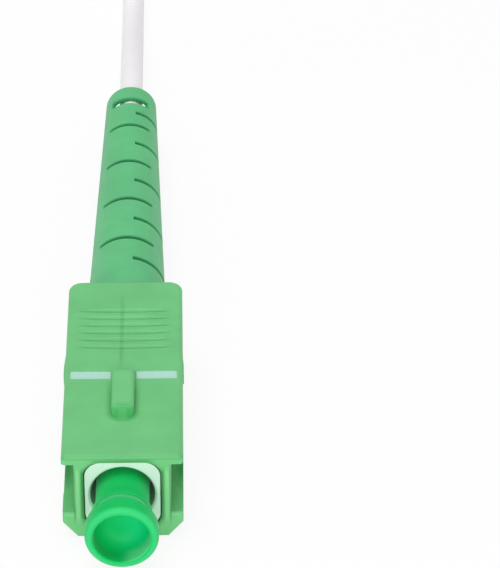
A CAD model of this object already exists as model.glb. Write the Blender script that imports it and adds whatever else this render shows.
import math
import random

import bmesh
import bpy
from mathutils import Matrix, Vector


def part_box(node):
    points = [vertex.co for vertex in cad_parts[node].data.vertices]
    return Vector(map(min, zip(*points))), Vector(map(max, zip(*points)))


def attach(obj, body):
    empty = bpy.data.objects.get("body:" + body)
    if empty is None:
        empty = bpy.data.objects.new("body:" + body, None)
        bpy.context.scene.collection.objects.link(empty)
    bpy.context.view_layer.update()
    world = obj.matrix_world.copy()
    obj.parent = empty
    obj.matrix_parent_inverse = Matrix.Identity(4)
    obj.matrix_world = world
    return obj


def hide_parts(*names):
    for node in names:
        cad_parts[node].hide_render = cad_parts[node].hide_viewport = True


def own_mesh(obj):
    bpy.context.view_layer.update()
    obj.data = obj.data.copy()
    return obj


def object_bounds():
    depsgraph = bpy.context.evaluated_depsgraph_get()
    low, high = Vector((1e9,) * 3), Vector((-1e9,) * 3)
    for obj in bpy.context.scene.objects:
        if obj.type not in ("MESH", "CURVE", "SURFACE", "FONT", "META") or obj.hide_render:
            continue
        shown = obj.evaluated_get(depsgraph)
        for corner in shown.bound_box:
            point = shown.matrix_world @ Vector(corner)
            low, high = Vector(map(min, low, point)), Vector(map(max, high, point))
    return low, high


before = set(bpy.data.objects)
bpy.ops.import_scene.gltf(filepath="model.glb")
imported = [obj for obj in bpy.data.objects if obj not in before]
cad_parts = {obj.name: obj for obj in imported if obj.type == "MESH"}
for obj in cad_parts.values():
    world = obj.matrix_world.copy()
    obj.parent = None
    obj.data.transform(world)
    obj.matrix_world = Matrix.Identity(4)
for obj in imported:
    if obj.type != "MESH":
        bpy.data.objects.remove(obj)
solid_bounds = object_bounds()

# Places and sizes are in millimetres, in the part's own frame: the origin on the ferrule's axis in
# the plane of the housing's front face, x to the right, y back along the cord, z up.
MM = 0.001
SEED = 7
rng = random.Random(SEED)


# ---------------------------------------------------------------- shader fields
# numbers of the sockets whose names repeat on their node
OBJECT_COORDINATES = 3
MIX_SHARE, MIX_FIRST, MIX_SECOND, MIX_RESULT = 0, 6, 7, 2


class Field:
    """A socket that takes part in sums: an expression on it adds its Math nodes."""

    def __init__(self, finish, socket):
        self.finish = finish
        self.socket = socket

    def _maths(self, operation, first, second=0.0):
        return self.finish.node("ShaderNodeMath", {"operation": operation}, {0: first, 1: second})

    def __add__(self, other):
        return self._maths("ADD", self, other)

    def __radd__(self, other):
        return self._maths("ADD", other, self)

    def __sub__(self, other):
        return self._maths("SUBTRACT", self, other)

    def __rsub__(self, other):
        return self._maths("SUBTRACT", other, self)

    def __mul__(self, other):
        return self._maths("MULTIPLY", self, other)

    def __rmul__(self, other):
        return self._maths("MULTIPLY", other, self)

    def __abs__(self):
        return self._maths("ABSOLUTE", self)

    def power(self, other):
        return self._maths("POWER", self, other)

    def cosine(self):
        return self._maths("COSINE", self)

    def sine(self):
        return self._maths("SINE", self)

    def step(self, low, high):
        """0 below low, 1 above high, smooth between them."""
        return self.finish.node(
            "ShaderNodeMapRange", {"interpolation_type": "SMOOTHSTEP"},
            {"Value": self, "From Min": low, "From Max": high})

    def between(self, start, full, wane, end):
        """Rises from start to full, and falls again from wane to end."""
        return self.step(start, full) * (1 - self.step(wane, end))


class Finish:
    """A material, its Principled shader and the nodes that feed it."""

    def __init__(self, name):
        self.material = bpy.data.materials.new(name)
        self.material.use_nodes = True
        self.tree = self.material.node_tree
        self.shader = self.tree.nodes["Principled BSDF"]

    def node(self, kind, settings=None, values=None, out=0):
        """A node of this type, its settings first, then the values or links of its sockets."""
        made = self.tree.nodes.new(kind)
        for key, value in (settings or {}).items():
            setattr(made, key, value)
        for key, value in (values or {}).items():
            self.feed(made.inputs[key], value)
        return Field(self, made.outputs[out])

    def feed(self, socket, value):
        if isinstance(value, Field):
            self.tree.links.new(value.socket, socket)
        elif isinstance(value, (int, float)) or socket.type == "VECTOR":
            socket.default_value = value
        else:
            socket.default_value = (*value, 1.0)[:4]

    def place(self):
        """Object coordinates in millimetres."""
        where = self.node("ShaderNodeTexCoord", out=OBJECT_COORDINATES)
        return self.node(
            "ShaderNodeVectorMath", {"operation": "SCALE"}, {0: where, "Scale": 1 / MM})

    def axes(self):
        """The three coordinates, each as a field."""
        apart = self.tree.nodes.new("ShaderNodeSeparateXYZ")
        self.feed(apart.inputs[0], self.place())
        return [Field(self, socket) for socket in apart.outputs]

    def noise(self, scale, detail=2.0, roughness=0.5, where=None):
        return self.node("ShaderNodeTexNoise", None, {
            "Vector": where or self.place(),
            "Scale": scale, "Detail": detail, "Roughness": roughness})

    def mix(self, share, first, second):
        """The first colour where share is 0, the second where it is 1."""
        sockets = {MIX_SHARE: share, MIX_FIRST: first, MIX_SECOND: second}
        return self.node("ShaderNodeMix", {"data_type": "RGBA"}, sockets, out=MIX_RESULT)

    def bump(self, height, distance, strength):
        return self.node("ShaderNodeBump", None, {
            "Height": height, "Distance": distance * MM, "Strength": strength})

    def set(self, **values):
        """Feed the Principled shader's own sockets, and hand back the material."""
        for key, value in values.items():
            self.feed(self.shader.inputs[key.replace("_", " ")], value)
        return self.material


def shade(colour, by):
    """The same colour, lighter or darker."""
    return tuple(min(1.0, channel * by) for channel in colour)


# ---------------------------------------------------------------- colours
GRIP_GREEN = (0.150, 0.530, 0.200)
GRIP_PALE = (0.230, 0.640, 0.260)
GRIP_DEEP = (0.020, 0.270, 0.055)
NOSE_GREEN = (0.020, 0.360, 0.075)
BOOT_GREEN = (0.115, 0.520, 0.215)
BOOT_DEEP = (0.000, 0.290, 0.090)
CAP_GREEN = (0.000, 0.500, 0.105)
CAP_CUP_LEFT = (0.000, 0.480, 0.115)
CAP_CUP_RIGHT = (0.000, 0.560, 0.190)
CAP_LIGHT = (0.060, 0.610, 0.230)
CAP_GLEAM = (0.170, 0.820, 0.400)
MARK_WHITE = (0.430, 0.700, 0.600)
FRAME_WHITE = (0.640, 0.850, 0.710)
JACKET_WHITE = (0.930, 0.910, 0.935)
BUFFER_WHITE = (0.800, 0.800, 0.760)
ZIRCONIA_WHITE = (0.860, 0.850, 0.820)
NICKEL_GREY = (0.660, 0.620, 0.550)
WIRE_GREY = (0.500, 0.500, 0.520)
SLEEVE_GREY = (0.620, 0.580, 0.520)
YARN_BROWN, YARN_YELLOW = (0.620, 0.420, 0.070), (0.900, 0.740, 0.300)
WEAVE_GREY, WEAVE_WHITE = (0.600, 0.600, 0.600), (0.860, 0.860, 0.850)
GLASS_BLUE, GLASS_CLEAR = (0.820, 0.900, 0.950), (0.920, 0.970, 1.000)
FLOOR_GREY, FLOOR_PALE = (0.900, 0.900, 0.900), (0.920, 0.920, 0.920)
WHITE = (1.0, 1.0, 1.0)

# ---------------------------------------------------------------- places that the colours follow
HOUSING_TOP = 3.70
KEY_FRONT = 4.85
KEY_HALF = 0.875
KEY_ROUND = 0.70
GROOVE_FIRST = 14.55
GROOVE_PITCH = 1.02
SEAM_X = -0.20
BOOT_START = 24.0
BOOT_LONG = 34.6
BOOT_RADIUS = 3.2
BOOT_TAPER = 1.0
THREAD_PITCH = 0.26
TURNED_RINGS = 40.0

# how deep each fold's colour is, as a share of the deep green
GROOVE_DEPTH = 0.34
SEAM_DEPTH = 0.22
FOOT_DEPTH = 0.55
LINTEL_DEPTH = 0.55
BROW_DEPTH = 0.36
RIB_DEPTH = 0.65
CHANNEL_DEPTH = 0.90


# ---------------------------------------------------------------- finishes
def moulded(name, colour, roughness, grain=26.0, depth=0.004, mottle=0.05):
    """Moulded plastic: slow drift in its colour, a fine spark-eroded grain, uneven gloss."""
    finish = Finish(name)
    drift = finish.noise(0.35, 3.0)
    fine = finish.noise(grain, 2.0, 0.6)
    base = finish.mix(
        drift.step(0.25, 0.75), shade(colour, 1 - mottle), shade(colour, 1 + mottle))
    finish.set(Base_Color=base, Roughness=roughness + (fine - 0.5) * 0.12,
               Specular_IOR_Level=0.35, Normal=finish.bump(fine, depth, 0.6))
    return finish, base


def mark_paint(finish, across, y, z):
    """The two marks: worn paint in sunk rectangles, with edges that are not quite straight."""
    ragged = (finish.noise(6.0, 3.0) - 0.5) * 0.06
    inside = (across + ragged).between(0.96, 1.02, 4.03, 4.11)
    along = (y + ragged).between(10.13, 10.19, 11.21, 11.27)
    worn = 1 - finish.noise(2.2, 4.0, 0.7).step(0.62, 0.80) * 0.35
    return inside * along * z.step(3.40, 3.50) * worn


def key_foot(across, y, z):
    """A halo on the housing's top round the key, which follows its rounded nose."""
    inner, behind = KEY_HALF - KEY_ROUND, KEY_FRONT + KEY_ROUND
    beside = (across - inner) * across.step(inner - 0.005, inner + 0.005)
    ahead = (behind - y) * (1 - y.step(behind - 0.01, behind))
    away = (beside * beside + ahead * ahead).power(0.5)
    on_top = z.between(3.5, 3.6, HOUSING_TOP, 3.85)
    return (1 - away.step(0.66, 1.28)) * on_top * (1 - y.step(8.0, 10.5))


def grip_finish():
    """The housing's plastic, of a deeper colour where the moulding folds in."""
    finish, base = moulded("grip plastic", GRIP_GREEN, 0.42)
    x, y, z = finish.axes()
    across = abs(x)
    front = 1 - y.step(0.10, 0.45)

    grooves = ((y - GROOVE_FIRST) * (2 * math.pi / GROOVE_PITCH)).cosine().step(-0.2, 1.0)
    grooves = grooves * y.between(14.0, 14.3, 19.9, 20.2) * (1 - across.step(2.9, 3.9))
    seam = (1 - abs(x - SEAM_X).step(0.08, 0.22)) * y.between(11.3, 14.0, 19.5, 22.0)

    # the front face: over the opening, along the top edge, and beside and on the ribs
    lintel = z.between(2.80, 2.95, 3.28, 3.46) * (1 - across.step(1.6, 2.7)) * front
    lintel = lintel * (0.75 + x.step(-1.5, 1.5) * 0.25)
    brow = z.between(3.30, 3.45, 3.69, HOUSING_TOP) * front
    rib_front = z.between(-2.6, -1.6, 2.1, 2.8) * front
    ribs = (1 - across.step(2.98, 3.20)) + across.step(3.42, 3.60)
    ribs = ribs * (1 - across.step(3.62, 3.64)) * rib_front
    crests = across.between(3.08, 3.26, 3.36, 3.50) * rib_front

    channels = across.step(3.60, 3.66) * z.between(-2.1, -2.05, -1.30, -1.10)
    channels = channels * y.between(3.0, 6.3, 8.8, 9.0) * (across.step(3.65, 4.35) * 0.6 + 0.4)

    fold = (grooves * GROOVE_DEPTH + seam * SEAM_DEPTH + key_foot(across, y, z) * FOOT_DEPTH
            + lintel * LINTEL_DEPTH + brow * BROW_DEPTH + ribs * RIB_DEPTH
            + channels * CHANNEL_DEPTH)
    nose = z.step(HOUSING_TOP, 3.78) * y.between(4.5, 4.7, 4.9, 5.9)
    nose = nose * (1 - across.step(0.2, 0.95) * 0.5)
    colour = finish.mix(fold, finish.mix(crests * 0.8, base, GRIP_PALE), GRIP_DEEP)
    colour = finish.mix(nose, colour, NOSE_GREEN)
    return finish.set(Base_Color=finish.mix(mark_paint(finish, across, y, z), colour, MARK_WHITE))


def boot_finish():
    """Soft rubber, deeper in colour on the walls of its slots."""
    finish, base = moulded("boot rubber", BOOT_GREEN, 0.50, 18.0, 0.006)
    x, y, z = finish.axes()
    skin = BOOT_RADIUS - (y - BOOT_START) * (BOOT_TAPER / BOOT_LONG)
    under = skin - (x * x + z * z).power(0.5)
    slots = under.step(0.02, 0.30) * y.between(24.2, 24.5, 57.4, 57.9)
    return finish.set(Base_Color=finish.mix(slots * 0.8, base, BOOT_DEEP))


def cap_finish():
    """Soft plastic, paler where its lip and its waist are thin, and lit through in its mouth."""
    finish, base = moulded("cap plastic", CAP_GREEN, 0.50, 20.0, 0.004)
    x, y, z = finish.axes()
    out = (x * x + z * z).power(0.5)
    lip = out.step(2.05, 2.45) * (1 - y.step(-5.15, -4.75))
    waist = out.step(2.08, 2.14) * y.between(-3.55, -3.05, -2.54, -2.50)
    low_right = (x * 0.7 - z * 0.7).step(1.35, 2.1)
    lit_side = low_right * out.step(1.5, 2.0) * (1 - y.step(-4.4, -3.6))
    cup = (1 - out.step(2.10, 2.16)) * (1 - y.step(-2.6, -2.4))
    mouth = finish.mix(x.step(-1.5, 1.8), CAP_CUP_LEFT, CAP_CUP_RIGHT)
    colour = finish.mix(lip * 0.6 + waist * 0.8, finish.mix(cup, base, mouth), CAP_LIGHT)
    return finish.set(
        Base_Color=finish.mix(cup * lit_side * 0.8, colour, CAP_GLEAM),
        Specular_IOR_Level=0.15, Sheen_Weight=0.18, Sheen_Roughness=0.40,
        Sheen_Tint=(0.55, 1.0, 0.75), Subsurface_Weight=0.25,
        Subsurface_Radius=(0.2, 1.0, 0.4), Subsurface_Scale=0.6 * MM)


def plain_finish(name, colour, roughness, mottle=0.05):
    """Moulded plastic of one colour."""
    return moulded(name, colour, roughness, mottle=mottle)[0].material


def metal_finish(name, colour, roughness):
    """Turned metal: fine rings round the ferrule's axis."""
    finish = Finish(name)
    x, y, z = finish.axes()
    where = finish.node("ShaderNodeCombineXYZ", None, {0: x * 0.3, 1: y * TURNED_RINGS, 2: z * 0.3})
    rings = finish.noise(1.0, 3.0, 0.6, where)
    return finish.set(
        Base_Color=finish.mix(rings, shade(colour, 0.9), shade(colour, 1.06)),
        Metallic=1.0, Roughness=roughness + (rings - 0.5) * 0.16,
        Normal=finish.bump(rings, 0.004, 0.5))


def yarn_finish():
    """Bundled yarn: fine strands along the cord."""
    finish = Finish("aramid yarn")
    x, y, z = finish.axes()
    where = finish.node("ShaderNodeCombineXYZ", None, {0: x * 9.0, 1: y * 0.6, 2: z * 9.0})
    strands = finish.noise(1.0, 4.0, 0.6, where)
    return finish.set(
        Base_Color=finish.mix(strands, YARN_BROWN, YARN_YELLOW),
        Roughness=0.55, Normal=finish.bump(strands, 0.03, 0.8))


def tie_finish():
    """Woven strap: crossed threads a quarter of a millimetre apart."""
    finish = Finish("woven tie")
    x, y, z = finish.axes()
    turn = 2 * math.pi / THREAD_PITCH
    weave = (y * turn).sine() * ((x + z) * turn).sine() * 0.5 + 0.5
    return finish.set(
        Base_Color=finish.mix(weave, WEAVE_GREY, WEAVE_WHITE),
        Roughness=0.8, Normal=finish.bump(weave, 0.02, 0.7))


def glass_finish():
    """Clear silica."""
    finish = Finish("silica fibre")
    clear = finish.noise(3.0, 2.0)
    return finish.set(
        Base_Color=finish.mix(clear, GLASS_BLUE, GLASS_CLEAR),
        Roughness=0.05, Transmission_Weight=0.6, IOR=1.46)


JACKET = plain_finish("cord jacket", JACKET_WHITE, 0.42, 0.012)
BUFFER = plain_finish("buffer plastic", BUFFER_WHITE, 0.45)
TIE = tie_finish()
YARN = yarn_finish()
GLASS = glass_finish()
NICKEL = metal_finish("nickel plated brass", NICKEL_GREY, 0.28)
SPRING_STEEL = metal_finish("spring wire", WIRE_GREY, 0.30)
FINISHES = {
    "grip_housing": grip_finish(),
    "plug_frame": plain_finish("frame plastic", FRAME_WHITE, 0.40),
    "ferrule": plain_finish("ground zirconia", ZIRCONIA_WHITE, 0.16),
    "ferrule_flange": NICKEL,
    "stop_ring": NICKEL,
    "glass_fibre": GLASS,
    "tight_buffer": BUFFER,
    "guide_tube": BUFFER,
    "aramid_yarn": YARN,
    "crimp_ring": metal_finish("crimped sleeve", SLEEVE_GREY, 0.34),
    "boot": boot_finish(),
    "dust_cap": cap_finish(),
}
for name, finish in FINISHES.items():
    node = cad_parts[name]
    node.data.materials.clear()
    node.data.materials.append(finish)


# ---------------------------------------------------------------- cord
CORD_WIDE = 2.0
IN_BOOT = (
    (0.0, 25.3, 0.0),
    (0.0, 34.0, 0.0),
    (0.0, 44.5, 0.0),
    (0.0, 50.5, 0.6),
    (0.0, 54.5, 0.8),
    (0.0, 58.7, 0.8),
)
CORD_ROUTE = (
    (0.0, 58.6, 0.8),
    (0.0, 65.0, 0.7),
    (-0.04, 72.5, -1.15),
    (-0.12, 79.5, -2.55),
    (-0.12, 86.5, -2.7),
    (0.5, 92.3, -2.7),
    (1.6, 98.0, -2.7),
)
LAYERS = 5
OUTER, INNER = 8.0, 6.0
RUN_SHARES = (0.12, 0.5, 0.88)
LOOP_STEPS = 6
LOOSE = 0.04
END_RUN = 20.0


def hank_points():
    """The folded length: the outer lane climbs layer by layer, and the inner lane comes down."""
    low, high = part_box("cord_hank")
    front = low.y / MM + OUTER + CORD_WIDE / 2
    rear = high.y / MM - OUTER - CORD_WIDE / 2
    base = low.z / MM + CORD_WIDE / 2
    centre = (low.x + high.x) / 2 / MM
    points = []

    def run(x, z, start, end):
        """A straight run, not quite in line."""
        for share in RUN_SHARES:
            place_x = centre + x + rng.uniform(-LOOSE, LOOSE)
            points.append((place_x, start + (end - start) * share, z))

    def half_loop(start_x, end_x, centre_y, way, start_z, end_z):
        """A half turn at an end of the hank; its points stand outside the arc that they draw."""
        middle, radius = (start_x + end_x) / 2, abs(start_x - end_x) / 2
        held = radius / math.cos(math.pi / LOOP_STEPS / 2)
        for i in range(LOOP_STEPS):
            share = (i + 0.5) / LOOP_STEPS
            angle = math.pi * share
            side = 1 if start_x > end_x else -1
            rise = share * share * (3 - 2 * share)
            points.append((
                centre + middle + side * held * math.cos(angle),
                centre_y + way * held * math.sin(angle),
                start_z + (end_z - start_z) * rise))

    heights = [base + CORD_WIDE * layer for layer in range(LAYERS)]
    lanes = [(OUTER, z) for z in heights] + [(INNER, z) for z in reversed(heights)]
    for (lane, z), (next_lane, next_z) in zip(lanes, lanes[1:]):
        run(lane, z, front, rear)
        half_loop(lane, -lane, rear, 1, z, z)
        run(-lane, z, rear, front)
        half_loop(-lane, next_lane, front, -1, z, next_z)
    lane, z = lanes[-1]
    points.append((centre + lane, front + END_RUN * 0.4, z))
    points.append((centre + lane, front + END_RUN, z))
    return points


def new_tube(name, points, finish):
    """A round cord with these control points, as one NURBS spline that rides on the plug."""
    curve = bpy.data.curves.new(name, "CURVE")
    curve.dimensions = "3D"
    curve.bevel_depth = CORD_WIDE / 2 * MM
    curve.bevel_resolution = 6
    curve.resolution_u = 10
    curve.use_fill_caps = True
    spline = curve.splines.new("NURBS")
    spline.points.add(len(points) - 1)
    for held, point in zip(spline.points, points):
        held.co = (*(Vector(point) * MM), 1.0)
    spline.order_u = 3
    spline.use_endpoint_u = True
    tube = bpy.data.objects.new(name, curve)
    bpy.context.collection.objects.link(tube)
    curve.materials.append(finish)
    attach(tube, "plug")
    return tube


def make_cord():
    """The free cord and its hank, and the place where it ends."""
    points = [*CORD_ROUTE, *hank_points()]
    cord = new_tube("fibre_cord", points, JACKET)
    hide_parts("cord_lead", "cord_hank")
    return cord, Vector(points[-1]) * MM


SHARP = math.radians(40)


def new_piece(name, mesh, finish, body):
    """Finish a bmesh as a piece that rides on a body, smooth but for its sharp edges."""
    data = bpy.data.meshes.new(name)
    bmesh.ops.recalc_face_normals(mesh, faces=mesh.faces)
    mesh.to_mesh(data)
    mesh.free()
    data.materials.append(finish)
    for face in data.polygons:
        face.use_smooth = True
    data.set_sharp_from_angle(angle=SHARP)
    piece = bpy.data.objects.new(name, data)
    bpy.context.collection.objects.link(piece)
    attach(piece, body)
    return piece


def rod(mesh, radius, start, end, segments=20):
    """A round rod between two points."""
    along = end - start
    turn = along.to_track_quat("Z", "Y").to_matrix().to_4x4()
    bmesh.ops.create_cone(
        mesh, cap_ends=True, segments=segments, radius1=radius, radius2=radius,
        depth=along.length, matrix=Matrix.Translation((start + end) / 2) @ turn)


BUFFER_RADIUS = 0.45
FIBRE_RADIUS = 0.0625
STRAND_RADIUS = 0.05
STRANDS = 22
STRAND_SEAT = 0.66


def make_bare_end(end):
    """The stripped far end: buffer, bare fibre and a short tuft of yarn."""
    back = Vector((0, 1, 0))
    stub = bmesh.new()
    rod(stub, BUFFER_RADIUS * MM, end - back * MM, end + back * 6 * MM)
    buffer = new_piece("end_buffer", stub, BUFFER, "plug")
    glass = bmesh.new()
    rod(glass, FIBRE_RADIUS * MM, end + back * 5.5 * MM, end + back * 8 * MM, 10)
    fibre = new_piece("end_fibre", glass, GLASS, "plug")
    tuft = bmesh.new()
    for i in range(STRANDS):
        angle = 2 * math.pi * i / STRANDS + rng.uniform(-0.1, 0.1)
        around = Vector((math.cos(angle), 0, math.sin(angle)))
        reach = rng.uniform(0.62, 0.80)
        rod(tuft, STRAND_RADIUS * MM, end - back * 0.5 * MM + around * STRAND_SEAT * MM,
            end + back * rng.uniform(2.0, 3.0) * MM + around * reach * MM, 6)
    yarn = new_piece("end_yarn", tuft, YARN, "plug")
    return [buffer, fibre, yarn]


STRAP_THICK = 0.40
STRAP_CORNER = 1.05
STRAP_EDGE = 0.12


def make_tie(node):
    """A woven strap round one side of the hank."""
    low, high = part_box(node)
    middle, size = (low + high) / 2, high - low
    strap = bmesh.new()
    bmesh.ops.create_cube(
        strap, size=1.0, matrix=Matrix.Translation(middle) @ Matrix.Diagonal((*size, 1.0)))
    ends = [f for f in strap.faces if abs(f.normal.y) > 0.9]
    bmesh.ops.delete(strap, geom=ends, context="FACES")
    long_edges = [e for e in strap.edges if not e.is_boundary]
    bmesh.ops.bevel(strap, geom=long_edges, offset=STRAP_CORNER * MM, segments=6, profile=0.5,
                    affect="EDGES", material=-1)
    bmesh.ops.recalc_face_normals(strap, faces=strap.faces)
    bmesh.ops.solidify(strap, geom=strap.faces[:], thickness=STRAP_THICK * MM)

    def at_end(vertex):
        return abs(abs(vertex.co.y - middle.y) - size.y / 2) < 1e-6

    rims = [e for e in strap.edges if all(at_end(v) for v in e.verts)
            and len(e.link_faces) == 2 and e.calc_face_angle(0) > 1.0]
    bmesh.ops.bevel(strap, geom=rims, offset=STRAP_EDGE * MM, segments=2, profile=0.5,
                    affect="EDGES", material=-1)
    piece = new_piece(f"strap_{node}", strap, TIE, "plug")
    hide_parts(node)
    return piece


WIRE_RADIUS = 0.18
SPRING_TURNS = 6
SPRING_STEPS = 144


def make_spring():
    """The coil spring: its wire is wound by one spin, and it shortens as the ferrule goes in."""
    low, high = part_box("spring")
    wire = WIRE_RADIUS * MM
    reach = (high.x - low.x) / 2 - wire
    climb = (high.y - low.y - 2 * wire) / SPRING_STEPS
    coil = bmesh.new()
    bmesh.ops.create_circle(coil, segments=10, radius=wire,
                            matrix=Matrix.Translation((reach, low.y + wire, 0.0)))
    bmesh.ops.spin(coil, geom=coil.verts[:] + coil.edges[:], cent=(0, 0, 0), axis=(0, 1, 0),
                   dvec=(0, climb, 0), angle=2 * math.pi * SPRING_TURNS, steps=SPRING_STEPS,
                   use_merge=False)
    bmesh.ops.holes_fill(coil, edges=[e for e in coil.edges if e.is_boundary])
    piece = new_piece("coil_spring", coil, SPRING_STEEL, "plug")
    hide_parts("spring")
    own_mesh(piece)


make_spring()
cord, cord_end = make_cord()
sheathed = new_tube("jacket_in_boot", IN_BOOT, JACKET)
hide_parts("cord_jacket")
end_pieces = make_bare_end(cord_end)
ties = [make_tie("cord_tie_right"), make_tie("cord_tie_left")]


# ---------------------------------------------------------------- floor, light and camera
FLOOR_WIDE = 4.0
FLOOR_GLOW = 0.88
WORLD_LIGHT = 0.44
LAMP_AIM = Vector((0.0, 0.02, 0.0))


def make_floor():
    """A pale floor that glows a little where it is seen, and keeps the shadow."""
    bpy.ops.mesh.primitive_plane_add(size=FLOOR_WIDE, location=(0, 0, solid_bounds[0][2]))
    floor = bpy.context.object
    floor.name = "floor"
    finish = Finish("pale floor")
    tree = finish.tree
    tint = finish.noise(0.05, 2.0)
    finish.set(Base_Color=finish.mix(tint, FLOOR_GREY, FLOOR_PALE), Roughness=0.8)
    paths = tree.nodes.new("ShaderNodeLightPath")
    seen, mirrored, seen_through = [
        Field(finish, paths.outputs[key])
        for key in ("Is Camera Ray", "Is Glossy Ray", "Is Transmission Ray")]
    glow = finish.node("ShaderNodeEmission", None, {"Color": WHITE, "Strength": 1.0})
    blend = tree.nodes.new("ShaderNodeMixShader")
    finish.feed(blend.inputs[0], (seen + mirrored + seen_through) * FLOOR_GLOW)
    tree.links.new(finish.shader.outputs[0], blend.inputs[1])
    tree.links.new(glow.socket, blend.inputs[2])
    tree.links.new(blend.outputs[0], tree.nodes["Material Output"].inputs[0])
    floor.data.materials.append(finish.material)


def make_world():
    world = bpy.data.worlds.new("studio")
    bpy.context.scene.world = world
    world.use_nodes = True
    background = world.node_tree.nodes["Background"]
    background.inputs["Color"].default_value = (*WHITE, 1.0)
    background.inputs["Strength"].default_value = WORLD_LIGHT


def make_lamp(name, place, size, power):
    """A round soft lamp, aimed at the middle of the plug."""
    data = bpy.data.lights.new(name, "AREA")
    data.shape = "DISK"
    data.size = size
    data.energy = power
    lamp = bpy.data.objects.new(name, data)
    bpy.context.collection.objects.link(lamp)
    lamp.location = place
    lamp.rotation_euler = (LAMP_AIM - Vector(place)).to_track_quat("-Z", "Y").to_euler()


CAMERA_PLACE = (0.005312, -0.194923, 0.143339)
CAMERA_TILT, CAMERA_PAN, CAMERA_ROLL = 32.6, 1.203, -0.152
CAMERA_LENS, CAMERA_SENSOR = 234.4, 36.0


def make_camera():
    """The camera stands in front of the plug and above it, a little to the right."""
    tilt, pan, roll = map(math.radians, (CAMERA_TILT, CAMERA_PAN, CAMERA_ROLL))
    ahead = Vector((
        math.sin(pan) * math.cos(tilt), math.cos(pan) * math.cos(tilt), -math.sin(tilt)))
    right = Vector((math.cos(pan), -math.sin(pan), 0.0))
    up = right.cross(ahead)
    data = bpy.data.cameras.new("camera")
    camera = bpy.data.objects.new("camera", data)
    bpy.context.collection.objects.link(camera)
    data.sensor_fit = "HORIZONTAL"
    data.sensor_width = CAMERA_SENSOR
    data.lens = CAMERA_LENS
    data.clip_start = 0.01
    rolled = Matrix.Rotation(roll, 3, ahead)
    turn = Matrix((rolled @ right, rolled @ up, -ahead)).transposed()
    camera.matrix_world = Matrix.Translation(CAMERA_PLACE) @ turn.to_4x4()
    bpy.context.scene.camera = camera


make_floor()
make_world()
make_lamp("key", (-0.05, 0.04, 0.45), 0.34, 1.00)
make_lamp("fill", (-0.01, -0.42, 0.14), 0.40, 1.40)
make_camera()
bpy.context.scene.view_settings.view_transform = "Standard"
